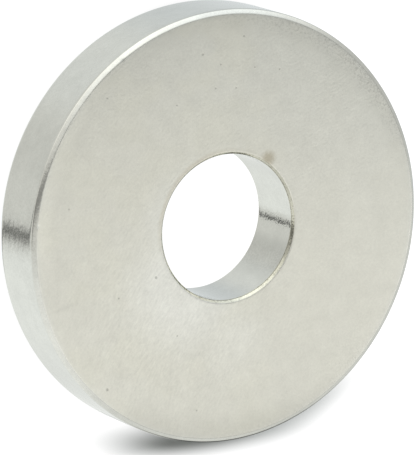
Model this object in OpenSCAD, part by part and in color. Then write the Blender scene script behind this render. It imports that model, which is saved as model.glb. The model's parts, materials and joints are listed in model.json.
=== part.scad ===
// Ring magnet: one sintered ring with ground pole faces, chamfered edges and a plated skin.
// Z is the axis of the ring, which lies on its lower pole face at Z = 0.

/* [Ring] */
// Outer diameter of the ring
ring_d = 60; // [40:0.1:90]
// Diameter of the bore through the middle
bore_d = 20.2; // [6:0.1:30]
// Thickness of the ring, from one pole face to the other
ring_h = 9.6; // [4:0.1:30]

/* [Edges] */
// Width of the outer chamfers, across the pole faces
rim_chamfer_w = 0.6; // [0.3:0.05:1.2]
// Height of the outer chamfers, along the rim
rim_chamfer_h = 0.35; // [0.2:0.05:1.2]
// Width of the bore chamfers, across the pole faces
bore_chamfer_w = 0.4; // [0.3:0.05:1.2]
// Height of the bore chamfers, along the bore
bore_chamfer_h = 0.25; // [0.2:0.05:1.2]
// Radius that tumbling leaves on both corners of a chamfer
corner_r = 0.25; // [0.05:0.05:0.4]

/* [Hidden] */
$fn = 180;

ring_r = ring_d / 2;
bore_r = bore_d / 2;
overshoot = 1;       // how far a cut reaches outside the ring
arc_bite = 0.00001;  // lets every corner arc reach both of its flats, whatever the rounding
nickel = [0.80, 0.80, 0.76];

// What a chamfer takes off a square edge at the origin, with the pole face along +X and the wall
// along +Y. One arc leads from the pole face into the slope, and another from the slope into the wall.
module edge_cut(chamfer_w, chamfer_h) {
    slope = atan2(chamfer_h, chamfer_w);
    face_arc = [chamfer_w + corner_r * tan(slope / 2), corner_r];
    wall_arc = [corner_r, chamfer_h + corner_r * tan((90 - slope) / 2)];
    to_slope = -corner_r * [sin(slope), cos(slope)];
    difference() {
        polygon([
            [-overshoot, -overshoot],
            [face_arc.x, -overshoot],
            [face_arc.x, 0],
            face_arc + to_slope,
            wall_arc + to_slope,
            [0, wall_arc.y],
            [-overshoot, wall_arc.y]
        ]);
        for (centre = [face_arc, wall_arc])
            translate(centre) circle(r = corner_r + arc_bite);
    }
}

// Repeats at the upper pole face what is drawn at the lower one
module at_both_faces() {
    children();
    translate([0, ring_h]) mirror([0, 1]) children();
}

// Section of the ring, with the radius along X and the height along Y
module ring_section() {
    difference() {
        translate([bore_r, 0]) square([ring_r - bore_r, ring_h]);
        at_both_faces() {
            translate([bore_r, 0]) edge_cut(bore_chamfer_w, bore_chamfer_h);
            translate([ring_r, 0]) mirror([1, 0]) edge_cut(rim_chamfer_w, rim_chamfer_h);
        }
    }
}

module ring_magnet() {
    color(nickel)
        rotate_extrude() ring_section();
}

ring_magnet();
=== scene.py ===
import json
import math

import bmesh
import bpy
from mathutils import Matrix, Vector, noise


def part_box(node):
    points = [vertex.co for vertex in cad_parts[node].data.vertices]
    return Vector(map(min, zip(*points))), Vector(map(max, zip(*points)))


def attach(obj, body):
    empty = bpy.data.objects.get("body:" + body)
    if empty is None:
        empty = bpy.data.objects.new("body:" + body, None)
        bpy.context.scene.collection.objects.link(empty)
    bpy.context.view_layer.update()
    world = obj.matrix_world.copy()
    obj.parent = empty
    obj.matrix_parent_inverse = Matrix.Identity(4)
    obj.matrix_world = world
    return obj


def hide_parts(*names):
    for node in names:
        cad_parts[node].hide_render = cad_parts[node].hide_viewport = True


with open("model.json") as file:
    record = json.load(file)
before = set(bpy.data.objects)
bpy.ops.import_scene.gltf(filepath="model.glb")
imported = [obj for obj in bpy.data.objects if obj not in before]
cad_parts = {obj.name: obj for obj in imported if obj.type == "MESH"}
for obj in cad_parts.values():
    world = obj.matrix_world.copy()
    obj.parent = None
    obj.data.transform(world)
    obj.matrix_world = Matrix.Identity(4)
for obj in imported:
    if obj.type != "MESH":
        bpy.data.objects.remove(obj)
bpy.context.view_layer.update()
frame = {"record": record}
scene = bpy.context.scene
scene.view_settings.view_transform = "Standard"
print("frame loaded")

mm = 0.001
ringLow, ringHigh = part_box("ring_magnet")
boreMount = next(m for m in frame["record"]["mounts"] if m["name"] == "bore")
rimRadius = (ringHigh.x - ringLow.x) / 2 / mm   # the ring's own sizes are in mm
boreRadius = boreMount["dims"]["r_mm"]
ringHeight = (ringHigh.z - ringLow.z) / mm


# one socket of a node tree, so that shader maths reads as plain sums
class Wire:
    def __init__(self, tree, socket=None):
        self.tree = tree
        self.socket = socket

    def node(self, kind, settings=None, sockets=None, out=0):
        # any node: its type, its settings, the values or wires of its sockets, and the output that is wanted
        made = self.tree.nodes.new("ShaderNode" + kind)
        for name, value in (settings or {}).items():
            setattr(made, name, value)
        for name, value in (sockets or {}).items():
            if isinstance(value, Wire):
                self.tree.links.new(value.socket, made.inputs[name])
            else:
                made.inputs[name].default_value = value
        return Wire(self.tree, made.outputs[out] if made.outputs else None)

    def maths(self, operation, *values):
        return self.node("Math", {"operation": operation}, dict(enumerate(values)))

    def __add__(self, other):
        return self.maths("ADD", self, other)

    def __radd__(self, other):
        return self.maths("ADD", other, self)

    def __sub__(self, other):
        return self.maths("SUBTRACT", self, other)

    def __rsub__(self, other):
        return self.maths("SUBTRACT", other, self)

    def __mul__(self, other):
        return self.maths("MULTIPLY", self, other)

    def __rmul__(self, other):
        return self.maths("MULTIPLY", other, self)

    def __abs__(self):
        return self.maths("ABSOLUTE", self)

    def highest(self, other):
        return self.maths("MAXIMUM", self, other)

    def fade(self, none, full):
        # a soft step from 0 to 1 while this value goes from one number to the other
        return self.node("MapRange", {"interpolation_type": "SMOOTHSTEP"},
                         {"Value": self, "From Min": none, "From Max": full})

    def axes(self):
        return [self.node("SeparateXYZ", None, {0: self}, i) for i in range(3)]

    def vector(self, x, y, z):
        return self.node("CombineXYZ", None, {0: x, 1: y, 2: z})

    def measure(self, where):
        # how far this is along a direction (three numbers) or, seen from above, from a spot (two numbers)
        if len(where) == 3:
            return self.node("VectorMath", {"operation": "DOT_PRODUCT"}, {0: self, 1: where}, 1)
        flat = self.node("VectorMath", {"operation": "MULTIPLY"}, {0: self, 1: (1, 1, 0)})
        return flat.node("VectorMath", {"operation": "DISTANCE"}, {0: flat, 1: (*where, 0)}, 1)

    def zone(self, steps):
        # a mask that is 1 where every step is full: what a step measures, where it starts, where it is full
        return math.prod(self.measure(where).fade(none, full) for where, none, full in steps)

    def texture(self, scale, detail, roughness):
        # cloudy noise round 0.5: how fine it is, how many finer layers it has, and how strong those are
        return self.node("TexNoise", None,
                         {"Vector": self, "Scale": scale, "Detail": detail, "Roughness": roughness})


toX = (1, 0, 0)
toY = (0, 1, 0)
toZ = (0, 0, 1)
axis = (0, 0)      # the axis of the ring, as a spot


def band(where, middle, reach, core):
    # two steps that leave only a band: full as far as core from its middle, none beyond its reach
    return [(where, middle - reach, middle - core), (where, middle + reach, middle + core)]


def blend(mask, low, high):
    # a value that is low where the mask is 0 and high where it is 1
    return low + mask * (high - low)


def mixColours(share, first, second, how="MIX"):
    # inputs 6 and 7 of a Mix node are its two colours, and its output 2 is the mixed one
    wire = share if isinstance(share, Wire) else first
    low, high = [(*colour, 1) if isinstance(colour, tuple) else colour for colour in (first, second)]
    settings = {"data_type": "RGBA", "blend_type": how}
    return wire.node("Mix", settings, {0: share, 6: low, 7: high}, 2)


def newMaterial(name):
    made = bpy.data.materials.new(name)
    made.use_nodes = True
    made.node_tree.nodes.clear()
    return made, Wire(made.node_tree)


def placeInMm(start):
    position = start.node("TexCoord", None, None, "Object")
    return position.node("VectorMath", {"operation": "SCALE"}, {0: position, "Scale": 1 / mm})


# camera: a long lens held over the ring, leaning towards -X, with +Y upwards
shot = {
    "lens": 363.96,        # mm, on a 36 mm sensor
    "distance": 0.6253,    # m, from the middle of the upper pole face
    "turned": 29.79,       # degrees towards -X from the axis of the ring
    "raised": 11.76,       # degrees towards +Y
    "aim": (-3.37, 0.36),  # mm, where the lens points on the pole face
    "sees": (0.01, 20),    # m, the nearest and the farthest that it sees
}


def placeCamera():
    turned = math.radians(shot["turned"])
    raised = math.radians(shot["raised"])
    faceMiddle = Vector((0, 0, ringHigh.z))
    flat = math.cos(raised)
    away = Vector((-math.sin(turned) * flat, math.sin(raised), math.cos(turned) * flat))
    place = faceMiddle + away * shot["distance"]
    aim = faceMiddle + Vector((*shot["aim"], 0)) * mm
    ahead = (aim - place).normalized()
    right = ahead.cross(Vector(toY)).normalized()
    up = right.cross(ahead)
    data = bpy.data.cameras.new("camera")
    data.lens = shot["lens"]
    data.clip_start, data.clip_end = shot["sees"]
    camera = bpy.data.objects.new("camera", data)
    camera.matrix_world = Matrix.Translation(place) @ Matrix((right, up, -ahead)).transposed().to_4x4()
    scene.collection.objects.link(camera)
    scene.camera = camera


placeCamera()
print("camera placed")


# room: a bright table on the -Y side, pale walls on the +Y side, a large softbox high up on the +Y side
room = {
    "table": (1.09, 1.115, 1.085),
    "warmWall": (0.87, 0.875, 0.835),   # towards -X
    "wall": (0.93, 0.95, 0.925),
    "coolWall": (0.77, 0.81, 0.82),     # towards +X
    "softbox": 0.92,
    "softboxLeft": 0.8,      # share of it that is left towards -X
    "gap": 0.70,             # share of the light that is missing in the dark gap overhead
    "gapCloses": 0.9,        # share of the gap that closes towards +X
    "gapSides": [            # the way into the gap, how far out, how much farther at +X and -X, how soft
        ((0, 1, 0), 0.12, 0.34, 0.12, 0.14),
        ((0, -1, 0), 0.18, 0.27, 0.0, 0.10),
    ],
    "hollow": 0.92,          # share of the light that is missing in the dark patch low on the -Y side
    "hollowTop": 0.22,       # share of that patch that is left out along its top
    "darker": {              # other dark places: the share of the light that is missing, and where
        "tableRight": (0.16, [(toY, -0.17, -0.28), (toX, -0.25, 0.3), (toZ, -0.1, -0.4)]),
        "tableFar": (0.14, [(toY, -0.17, -0.28), (toX, -0.4, 0.1), (toZ, -0.1, 0.1)]),
        "tableEnd": (0.25, [(toY, -0.17, -0.28), (toX, 0.45, 0.7), (toZ, 0.1, -0.1)]),
        "seam": (0.90, band((0.56, 1, 0), -0.421, 0.034, 0.008) + [(toX, -0.1, -0.3), (toZ, -0.5, -0.7)]),
        "lowOnWarmWall": (0.06, band(toY, 0.23, 0.16, 0.05) + [(toX, -0.28, -0.4), (toZ, 0.1, -0.1)]),
    },
    "zones": {
        "above": [(toZ, -0.1, 0.1)],
        "table": [(toY, -0.17, -0.28)],
        "notWarm": [(toX, -0.38, -0.18)],
        "cool": [(toX, 0.05, 0.42)],
        "coolEnd": [(toX, 0.6, 0.85)],
        "gapCloses": [(toX, 0.2, 0.55)],
        "hollow": [((1, 0, 0.45), 0.02, 0.09), (toX, 0.2, 0.33), (toX, 0.76, 0.6), (toY, -0.15, -0.33),
                   (toZ, 0.25, -0.1)],
        "hollowTop": [(toY, -0.6, -0.75), (toZ, -0.3, -0.15)],
        "softbox": [(toX, 1.0, 0.6), (toY, 0.15, 0.75), ((-0.25, 0, 1), -0.4, 0.1),
                    ((0.6, 0, 1), -0.9, 0.0)],
        "softboxRight": [(toX, -0.3, 0.0)],
        "toRight": [(toX, 0.0, 0.9)],
        "toLeft": [(toX, -0.4, -0.9)],
    },
}


def paintRoom():
    world = bpy.data.worlds.new("studio")
    world.use_nodes = True
    world.node_tree.nodes.clear()
    scene.world = world
    start = Wire(world.node_tree)
    way = start.node("TexCoord", None, None, "Generated")
    area = {name: way.zone(steps) for name, steps in room["zones"].items()}
    colour = mixColours(area["notWarm"], room["warmWall"], room["wall"])
    colour = mixColours(area["cool"] * (1 - area["above"] * area["coolEnd"]), colour, room["coolWall"])
    colour = mixColours(area["table"], colour, room["table"])
    level = math.prod(1 - way.zone(steps) * missing for missing, steps in room["darker"].values())

    # the gap is wider towards both sides, and paler towards +X
    gap = area["above"] * (1 - area["gapCloses"] * room["gapCloses"])
    for inwards, out, atRight, atLeft, soft in room["gapSides"]:
        inside = way.measure(inwards) + out + area["toRight"] * atRight + area["toLeft"] * atLeft
        gap = gap * inside.fade(0, soft)
    level = level * (1 - gap * room["gap"])
    hollow = area["hollow"] * (1 - area["hollowTop"] * room["hollowTop"])
    level = level * (1 - hollow * room["hollow"])
    softbox = area["softbox"] * blend(area["softboxRight"], room["softboxLeft"], 1)
    level = level + softbox * room["softbox"]

    # the camera sees plain white
    camera = start.node("LightPath", None, None, "Is Camera Ray")
    seen = mixColours(camera, colour, (1, 1, 1))
    sky = start.node("Background", None, {"Color": seen, "Strength": blend(camera, level, 1)})
    start.node("OutputWorld", None, {"Surface": sky})


paintRoom()
print("room painted")


# a white card on the -Y side, which lights the lower part of the pole face more than the upper part
card = {
    "off": 0.075,             # m from the axis of the ring
    "middle": (0.20, 0.248),  # m along X and up
    "length": 0.46,
    "height": 0.276,
    "level": 0.78,            # how bright it looks, where 1 is white
}


def placeCard():
    data = bpy.data.lights.new("card", "AREA")
    data.shape = "RECTANGLE"
    data.size = card["length"]
    data.size_y = card["height"]
    data.energy = card["level"] * math.pi * card["length"] * card["height"]
    lamp = bpy.data.objects.new("card", data)
    lamp.location = (card["middle"][0], -card["off"], card["middle"][1])
    lamp.rotation_euler.x = math.pi / 2
    lamp.visible_camera = False
    scene.collection.objects.link(lamp)


placeCard()
print("card placed")


# floor: a white sheet that keeps the soft shadow of the ring, with a painted deeper shadow close to it. Its
# zones are in mm
sheet = {
    "size": 6.0,                    # m
    "paper": (0.53, 0.54, 0.54),
    # painted shadow: the darker paper
    "deepPaper": (0.22, 0.225, 0.22),
    "white": 1.17,                  # plain white with a little to spare, so that only the shadow shows
    "glowInBore": 0.90,             # share of plain white in the paper under the bore
    "contact": 0.22,                # how much of a thin contact shadow is kept all round
    "zones": {
        "shadow": [((-0.1, 1, 0), -25.5, -31.5), ((2.5, -3), 35.5, 29.5), (toY, -36, -32)],
        "contact": [(axis, 31.8, 29.6)],
        "underBore": [(axis, 14, 12)],
        "deep": [(toX, -14, -3), (toX, 17, 3), (axis, 35.5, 32)],   # where the shadow is painted deeper with a darker paper
    },
}


def layFloor():
    mesh = bpy.data.meshes.new("floor")
    bm = bmesh.new()
    bmesh.ops.create_grid(bm, x_segments=1, y_segments=1, size=sheet["size"] / 2)
    bm.to_mesh(mesh)
    bm.free()
    floor = bpy.data.objects.new("floor", mesh)
    floor.location.z = ringLow.z
    scene.collection.objects.link(floor)
    material, start = newMaterial("whitePaper")
    place = placeInMm(start)
    area = {name: place.zone(steps) for name, steps in sheet["zones"].items()}
    shadow = area["shadow"].highest(area["contact"] * sheet["contact"])
    glow = blend(area["underBore"], 1 - shadow, sheet["glowInBore"])
    paper = start.node("BsdfDiffuse", None, {"Color": (*sheet["paper"], 1)})
    deepPaper = start.node("BsdfDiffuse", None, {"Color": (*sheet["deepPaper"], 1)})
    # painted shadow: the darker paper where the shadow is deepest
    paper = start.node("MixShader", None, {0: area["deep"], 1: paper, 2: deepPaper})
    white = start.node("Emission", None, {"Color": (1, 1, 1, 1), "Strength": sheet["white"]})
    camera = start.node("LightPath", None, None, "Is Camera Ray")
    seen = start.node("MixShader", None, {0: camera * glow, 1: paper, 2: white})
    # reflections look through the floor into the room
    glossy = start.node("LightPath", None, None, "Is Glossy Ray")
    clear = start.node("BsdfTransparent")
    surface = start.node("MixShader", None, {0: glossy, 1: seen, 2: clear})
    start.node("OutputMaterial", None, {"Surface": surface})
    mesh.materials.append(material)


layFloor()
print("floor laid")


# the ring: one turned section swept round its axis
ring = {
    "turns": 720,                # steps round the ring
    "rimChamfer": (0.66, 0.32),  # mm across the face, mm down the rim
    "boreChamfer": (0.38, 0.33),
    "rimRounding": ((0.10, 0.15), (0.16, 0.45)),   # mm, how far a corner's rounding reaches to each side
    "boreRounding": ((0.24, 0.12), (0.10, 0.16)),
    "cornerSteps": 7,
    "wallSteps": 6,
    "faceSteps": 24,
    "fall": (25.5, 0.05),        # mm, the pole face falls away beyond this radius, by so much at the rim
    "wander": 0.03,              # mm, how much the chamfers wander round the ring
    "wanderTurns": 2.2,          # how often they do
    "wanderReach": (0.45, 0.3),  # mm to each side of the inner edge of the rim's and of the bore's chamfer
    "wide": (315, 0.05),         # degrees, mm: the chamfer of the bore is widest there, and by so much
    "nicks": [                   # degrees, mm from the axis, mm wide, mm deep
        (174.0, 29.25, 0.40, 0.016), (123.7, 29.33, 0.22, 0.05)],
    "seed": 5,
    "sideSeed": 3,               # how far apart the two pole faces are in the noise
}


def roundCorner(before, corner, after, legBefore, legAfter):
    # a soft curve that blends two straight stretches of the section
    first = corner + (before - corner).normalized() * legBefore
    last = corner + (after - corner).normalized() * legAfter
    steps = ring["cornerSteps"]
    points = []
    for i in range(steps + 1):
        t = i / steps
        points.append(first.lerp(corner, t).lerp(corner.lerp(last, t), t))
    return points


def straight(a, b, steps):
    # points between two ends, packed closer near both of them
    return [a.lerp(b, 0.5 - 0.5 * math.cos(math.pi * i / steps)) for i in range(1, steps)]


def halfSection():
    # from half way up the bore, over the upper pole face, to half way down the rim: radius and height in mm
    middle = ringHeight / 2
    acrossRim, downRim = ring["rimChamfer"]
    acrossBore, downBore = ring["boreChamfer"]
    stops = [Vector(p) for p in (
        (boreRadius, middle), (boreRadius, ringHeight - downBore), (boreRadius + acrossBore, ringHeight),
        (rimRadius - acrossRim, ringHeight), (rimRadius, ringHeight - downRim), (rimRadius, middle))]
    legs = ring["boreRounding"] + ring["rimRounding"]
    corners = [roundCorner(stops[i], stops[i + 1], stops[i + 2], *legs[i]) for i in range(4)]
    points = [stops[0]]
    points += straight(stops[0], corners[0][0], ring["wallSteps"])
    points += corners[0] + corners[1]
    points += straight(corners[1][-1], corners[2][0], ring["faceSteps"])
    points += corners[2] + corners[3]
    points += straight(corners[3][-1], stops[5], ring["wallSteps"])
    points.append(stops[5])
    return points


def whichSide(point):
    return 1 if point.y > ringHeight / 2 else -1


def fallAway(point):
    # the pole faces roll off slightly towards the rim
    start, depth = ring["fall"]
    share = min(1, max(0, (point.x - start) / (rimRadius - start)))
    height = min(1, abs(point.y / ringHeight - 0.5) * 2)
    return Vector((point.x, point.y - whichSide(point) * depth * share * share * height))


def wander(point, angle):
    # the chamfers aren't quite even round the ring: their inner edge wanders in and out
    turns = ring["wanderTurns"]
    layer = whichSide(point) * ring["sideSeed"] + ring["seed"]
    shift = noise.noise(Vector((math.cos(angle) * turns, math.sin(angle) * turns, layer))) * ring["wander"]
    rimReach, boreReach = ring["wanderReach"]
    nearRim = max(0.0, 1 - abs(point.x - (rimRadius - ring["rimChamfer"][0])) / rimReach)
    nearBore = max(0.0, 1 - abs(point.x - (boreRadius + ring["boreChamfer"][0])) / boreReach)
    degrees, width = ring["wide"]
    wide = math.cos(angle - math.radians(degrees)) * width
    return Vector((point.x + shift * nearRim + (shift + wide) * nearBore, point.y))


def nickDepth(point, angle):
    if point.y < ringHeight / 2:
        return 0.0
    depth = 0.0
    for degrees, radius, width, deep in ring["nicks"]:
        across = (angle - math.radians(degrees)) * radius
        away = math.hypot(across, point.x - radius) / width
        if away < 1:
            depth += deep * (1 - away * away) ** 2
    return depth


def turnRing():
    upper = [fallAway(p) for p in halfSection()]
    lower = [Vector((p.x, ringHeight - p.y)) for p in reversed(upper)][1:-1]
    section = upper + lower
    bm = bmesh.new()
    loops = []
    for i in range(ring["turns"]):
        angle = 2 * math.pi * i / ring["turns"]
        loop = []
        for point in section:
            p = wander(point, angle)
            z = p.y - nickDepth(p, angle)
            place = (p.x * mm * math.cos(angle), p.x * mm * math.sin(angle), ringLow.z + z * mm)
            loop.append(bm.verts.new(place))
        loops.append(loop)
    for here, there in zip(loops, loops[1:] + loops[:1]):
        for j in range(len(section)):
            bm.faces.new((here[j - 1], here[j], there[j], there[j - 1])).smooth = True
    bmesh.ops.recalc_face_normals(bm, faces=bm.faces)
    mesh = bpy.data.meshes.new("ringMagnet")
    bm.to_mesh(mesh)
    bm.free()
    made = bpy.data.objects.new("ringMagnet", mesh)
    scene.collection.objects.link(made)
    return made


# bright nickel over ground pole faces; the rim and the bore are smoother and cooler. Its zones are in mm
plating = {
    "faceColour": (0.562, 0.547, 0.491),
    "wallColour": (0.62, 0.625, 0.595),
    "tints": {               # other colours and how much of each, laid over one another in this order
        "farSide": ((0.549, 0.541, 0.498), 0.6),    # the +Y side of the pole face
        "warmer": ((0.568, 0.552, 0.483), 1.0),     # warmer clouds
        # painted highlight: a lighter patch on the face beside and below the bore
        "polished": ((0.617, 0.606, 0.562), 1.0),
        "soiled": ((0.51, 0.48, 0.405), 0.7),       # beside the chamfer of the bore
        "chamfer": ((0.632, 0.621, 0.583), 0.65),
        "boreChamfer": ((0.60, 0.585, 0.50), 1.0),
        "stain": ((0.39, 0.355, 0.28), 0.9),
    },
    "shades": {              # darker or lighter by so much
        "chipped": -0.22,        # small chips in the chamfer of the bore
        "specks": -0.28,
        "smear": -0.055,
        "worn": -0.06,           # beside the chamfers
        "dull": -0.05,           # painted shade: the border of the pole face darker, in clouds
        "grit": -0.12,           # fine grit along that border, mostly towards +X
        "smudge": -0.22,         # on the wall of the bore
        "bright": 0.08,          # painted light: the border towards -X lighter
        "farHalf": -0.03,        # painted shade: the +Y half of the pole face darker
        "lowCorner": -0.76,      # painted shadow in the corner between rim and chamfer on the -Y side
    },
    "chamferShades": [       # painted highlights and shade along the chamfers: degrees, mm from the axis, mm of reach, how much
        (35, 10.3, 6.0, -0.2), (90, 10.3, 6.5, 0.44), (218, 10.3, 5.2, 0.68), (262, 10.3, 4.0, -0.17),
        (343, 10.3, 3.0, -0.26), (37, 29.7, 19.0, -0.17), (183, 29.7, 4.0, -0.08), (212, 29.7, 10.0, 0.08),
        (270, 29.7, 13.0, 0.03)],
    "specks": [              # x, y and radius
        (2.4, 26.2, 0.16), (-4.0, 24.2, 0.17), (-1.2, 22.6, 0.12), (4.1, 21.8, 0.11), (8.0, 21.2, 0.13),
        (-2.0, 19.4, 0.12), (1.2, 19.2, 0.10), (-8.0, 17.6, 0.12), (-18.6, 19.5, 0.11), (-24.5, 5.0, 0.13),
        (-11.3, -5.7, 0.17), (-17.0, -8.0, 0.12), (-8.0, -14.2, 0.11), (-18.8, -20.4, 0.18),
        (-5.0, -25.0, 0.11)],
    "grindCentre": (56, -60),       # the grinding marks are arcs about this point
    "grindScale": (3.4, 70.0, 0.2),   # how fine: per mm across the arcs, per radian along them, per mm up
    "grindStrength": (0.08, 0.32),  # elsewhere, and in the middle of the most ground zone
    "turnScale": (0.6, 0.6, 4.5),   # how fine the lines round the walls are along X, Y and Z
    "fine": (1.0, 3, 0.6),          # the noise in the marks and the lines: scale, detail and roughness
    "clouds": (0.16, 4, 0.6),
    "patches": (0.45, 3, 0.55),
    "hues": (0.13, 2, 0.5),
    "grain": (2.8, 5, 0.8),
    "ripple": (1.1, 2, 0.5),
    "pebbles": (3.2, 2, 0.5),
    "chips": (2.2, 3, 0.7),
    "shade": 0.975,                 # the finish before the noises lighten and darken it by these amounts
    "cloudStrength": 0.05,
    "patchStrength": (0.18, 0.14),  # on the walls and on the faces
    "grainStrength": 0.33,
    "rough": (0.11, 0.06, 0.18, 0.15),           # rim, bore, chamfer of the rim, chamfer of the bore
    "pebbleHeight": (0.003, 0.012, 0.007, 0.028),   # mm, in the same order
    "faceRough": (0.38, 0.08),      # and how much the grain changes it
    "wallHeights": {"lines": 0.006, "ripple": 0.011},   # mm
    "faceHeights": {"marks": 0.014, "grain": 0.018, "specks": -0.03},
    "faceDepth": (0.08, 0.02),      # mm below a pole face, where its finish starts and where it is full
    "chamferDepth": (0.55, 0.35),   # the same for the chamfers
    "zones": {               # most are named for the tint or the shade that they hold
        "top": [(toZ, ringHeight - 0.1, ringHeight - 0.05)],
        "nearBore": [(axis, 12, 11)],
        "boreChamfer": [(axis, 10.8, 10.5)],
        "farSide": [((0.5, 1, 0), 2, 30)],
        "warmerStrong": [(toX, 16, -2)],
        "besideBore": [(axis, 15, 11), (toX, 4, -4), (toY, 14, 2)],
        "belowBore": [((1, -16), 7, 1)],
        "wornRim": [(axis, 28.4, 29.3)],
        "wornBore": [(axis, 11.0, 10.5)],
        "soiled": [(axis, 11.2, 10.7), ((-0.6, 1, 0), 2, 10)],
        "soiledStrong": [(toX, 3, -5)],
        "grit": [(axis, 26, 28.8), (toY, 0, 15)],
        "gritStrong": [(toX, -15, 15)],
        "smudge": [((8.2, -5.9), 4, 1)],
        "smear": band(toX, -25.4, 2.4, 0.48) + band((-0.25, 1, 0), -2.15, 0.45, 0.045),
        "dullTop": [(axis, 20, 29), (toY, 5, 22), (toX, -24, -12)],
        "dullBottom": [(axis, 24.5, 29.3), (toY, -21, -28)],
        "bright": [(axis, 26.5, 29), (toX, -16, -25), (toY, -6, 2)],
        "farHalf": [(toY, -2, 20)],
        "lowCorner": [(axis, 29.72, 29.86), ((2, -30), 21, 8)],
        "mostGround": [((-8, -10), 24, 6)],
    },
    "brightSpot": (-7.2, -7.6),     # where a painted highlight lies on the face
    "brightReach": (13.8, 4.8),     # from that spot, where it starts and where it is full
    "polish": {"besideBore": 0.55, "belowBore": 0.5},   # how strong the painted highlight is in these zones
    "stain": (6.25, 9.0),           # a faint brown stain beside the bore
    "stainReach": (1.9, 0.7),
    "speckReach": (1.4, 0.5),       # in radii of the speck
    "chamferSoft": 0.3,             # share of the reach of each painted highlight and shade along the chamfers where it is full
    "dullBottom": 2.4,              # how much stronger the painted shade of the border is on the -Y side
    "ragged": {"polished": 3.6, "stain": 0.8},   # how far noise moves the edge of these
    "uneven": {              # how strong these are outside and inside their zone of that name
        "warmerStrong": (0.15, 0.5),
        "soiledStrong": (0.3, 1),
        "gritStrong": (0.5, 2.4),
    },
    "broken": {              # the noise that breaks these up: where it starts and where it is full
        "warmer": (0.42, 0.62),
        "grit": (0.45, 0.65),
        "smudge": (0.3, 0.65),
        "chipped": (0.5, 0.6),
    },
    "patchy": {"soiled": 0.4, "worn": 0.2, "dull": 0.5},   # added to the noise that makes these patchy
}


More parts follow.
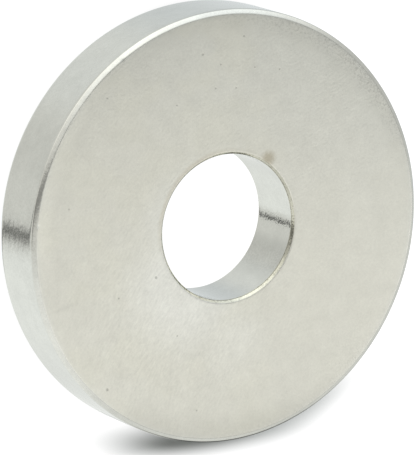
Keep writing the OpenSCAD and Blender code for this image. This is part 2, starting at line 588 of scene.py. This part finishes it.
def platingMaterial():
    material, start = newMaterial("nickelPlating")
    place = placeInMm(start)
    x, y, z = place.axes()
    area = {name: place.zone(steps) for name, steps in plating["zones"].items()}
    onTop = area["top"]
    depth = ringHeight / 2 - abs(z - ringHeight / 2)
    onFace = depth.fade(*plating["faceDepth"])
    chamfer = depth.fade(*plating["chamferDepth"]) * (1 - onFace)

    # grinding marks: fine across the arcs, long along them, stronger in some places than in others
    across = x - plating["grindCentre"][0]
    up = y - plating["grindCentre"][1]
    perAcross, perRadian, perHeight = plating["grindScale"]
    fromCentre = place.measure(plating["grindCentre"])
    arcs = start.vector(fromCentre * perAcross, up.maths("ARCTAN2", up, across) * perRadian, z * perHeight)
    marks = arcs.texture(*plating["fine"])
    clouds = place.texture(*plating["clouds"])
    patches = place.texture(*plating["patches"])
    hues = place.texture(*plating["hues"])
    grain = place.texture(*plating["grain"])

    # the rim and the bore have fine lines round the ring, a slight ripple and a pebbled skin
    turned = place.node("VectorMath", {"operation": "MULTIPLY"}, {0: place, 1: plating["turnScale"]})
    lines = turned.texture(*plating["fine"])
    ripple = place.texture(*plating["ripple"])
    pebbles = place.texture(*plating["pebbles"])
    chips = place.texture(*plating["chips"])

    # a mask for each tint and each shade
    specks = None
    speckStart, speckFull = plating["speckReach"]
    for speckX, speckY, size in plating["specks"]:
        spot = place.zone([((speckX, speckY), size * speckStart, size * speckFull)])
        specks = specks.highest(spot) if specks else spot
    ragged = plating["ragged"]
    broken = plating["broken"]
    patchy = plating["patchy"]
    uneven = {name: blend(area[name], *strengths) for name, strengths in plating["uneven"].items()}
    # painted highlight: lighter beside and below the bore
    fromBright = place.measure(plating["brightSpot"]) + clouds * ragged["polished"]
    polished = fromBright.fade(*plating["brightReach"])
    for name, amount in plating["polish"].items():
        polished = polished.highest(area[name] * amount)
    fromStain = place.measure(plating["stain"]) + grain * ragged["stain"]
    # painted shade along the border of the pole face, in clouds, stronger on the -Y side
    dull = area["dullTop"] * (clouds + patchy["dull"]) + area["dullBottom"] * plating["dullBottom"]
    masks = {
        "farSide": area["farSide"] * onTop,
        "warmer": hues.fade(*broken["warmer"]) * uneven["warmerStrong"] * onFace,
        "polished": polished * onTop,
        "soiled": area["soiled"] * uneven["soiledStrong"] * (patches + patchy["soiled"]) * onTop,
        "chamfer": chamfer,
        "boreChamfer": area["boreChamfer"] * chamfer,
        "stain": fromStain.fade(*plating["stainReach"]) * onTop,
        "chipped": area["boreChamfer"] * chamfer * chips.fade(*broken["chipped"]),
        "specks": specks * onTop,
        "smear": area["smear"] * onTop,
        "worn": (area["wornRim"] + area["wornBore"]) * (patches + patchy["worn"]) * onFace,
        "dull": dull * onTop,
        "grit": area["grit"] * uneven["gritStrong"] * grain.fade(*broken["grit"]) * onTop,
        "smudge": area["smudge"] * grain.fade(*broken["smudge"]) * (1 - onFace),
        "bright": area["bright"] * onTop,
        "farHalf": area["farHalf"] * onTop,
        "lowCorner": area["lowCorner"] * chamfer,
    }

    colour = mixColours(onFace, plating["wallColour"], plating["faceColour"])
    for name, (other, amount) in plating["tints"].items():
        colour = mixColours(masks[name] * amount, colour, other)
    grinding = (marks - 0.5) * blend(area["mostGround"], *plating["grindStrength"]) * onFace
    shade = plating["shade"] + clouds * plating["cloudStrength"] + grinding
    shade = shade + (patches - 0.5) * blend(onFace, *plating["patchStrength"])
    shade = shade + (grain - 0.5) * plating["grainStrength"]
    for name, amount in plating["shades"].items():
        shade = shade * (1 + masks[name] * amount)
    # painted highlights and shade along the chamfers
    for degrees, far, reach, amount in plating["chamferShades"]:
        spot = (far * math.cos(math.radians(degrees)), far * math.sin(math.radians(degrees)))
        along = place.zone([(spot, reach, reach * plating["chamferSoft"])])
        shade = shade * (1 + along * chamfer * amount)
    grey = shade.node("CombineColor", None, {0: shade, 1: shade, 2: shade})
    colour = mixColours(1.0, colour, grey, "MULTIPLY")

    def byPart(rim, bore, rimChamfer, boreChamfer):
        nearBore = area["nearBore"]
        return blend(chamfer, blend(nearBore, rim, bore), blend(nearBore, rimChamfer, boreChamfer))

    faceRough, byGrain = plating["faceRough"]
    rough = blend(onFace, byPart(*plating["rough"]), faceRough + (grain - 0.5) * byGrain)
    relief = {"lines": lines, "ripple": ripple, "marks": marks, "grain": grain, "specks": masks["specks"]}
    onWall = sum(relief[name] * height for name, height in plating["wallHeights"].items())
    onWall = onWall + pebbles * byPart(*plating["pebbleHeight"])
    onPole = sum(relief[name] * height for name, height in plating["faceHeights"].items())
    height = blend(onFace, onWall, onPole)
    bump = start.node("Bump", None, {"Strength": 1.0, "Distance": mm, "Height": height})
    metal = {"Base Color": colour, "Metallic": 1.0, "Roughness": rough, "Normal": bump}
    shader = start.node("BsdfPrincipled", None, metal)
    start.node("OutputMaterial", None, {"Surface": shader})
    return material


ringMagnet = turnRing()
print("ring turned:", len(ringMagnet.data.polygons), "faces")
ringMagnet.data.materials.append(platingMaterial())
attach(ringMagnet, "root")
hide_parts("ring_magnet")
print("plating applied")
